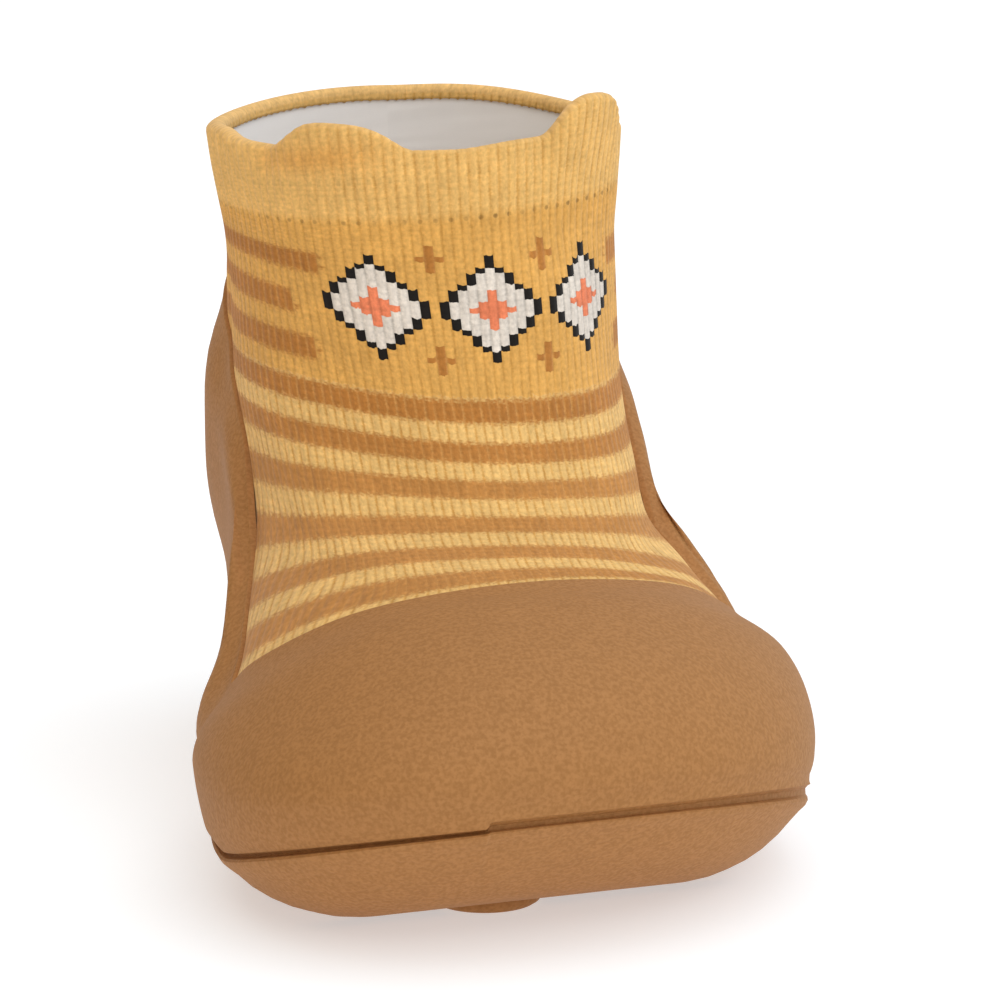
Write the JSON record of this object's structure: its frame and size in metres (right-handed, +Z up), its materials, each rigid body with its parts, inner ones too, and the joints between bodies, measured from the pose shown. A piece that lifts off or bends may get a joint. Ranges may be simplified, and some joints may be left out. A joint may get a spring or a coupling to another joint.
{
  "type": "toddler sock shoe",
  "caption": "Left sock shoe for a toddler: striped knit sock with a ribbed cuff and two rounded collar tabs, set in a one-piece moulded rubber bottom with toe cap and heel counter.",
  "frame": {"origin": "bottom centre of the bounding box, on the plane the sole stands on", "axes": "+Z up, the toe points along -Y, and +X is the outer side of the left foot"},
  "size_m": [0.068, 0.1312, 0.0815],
  "materials": {
    "sock_knit": "ribbed cotton knit in yellow with brown stripes",
    "moulded_rubber": "matte, fine grain",
    "insole_foam": "plain textile cover on foam"
  },
  "bodies": {
    "root": {"sock_upper": "sock_knit", "rubber_bottom": "moulded_rubber", "insole": "insole_foam"}
  },
  "joints": []
}
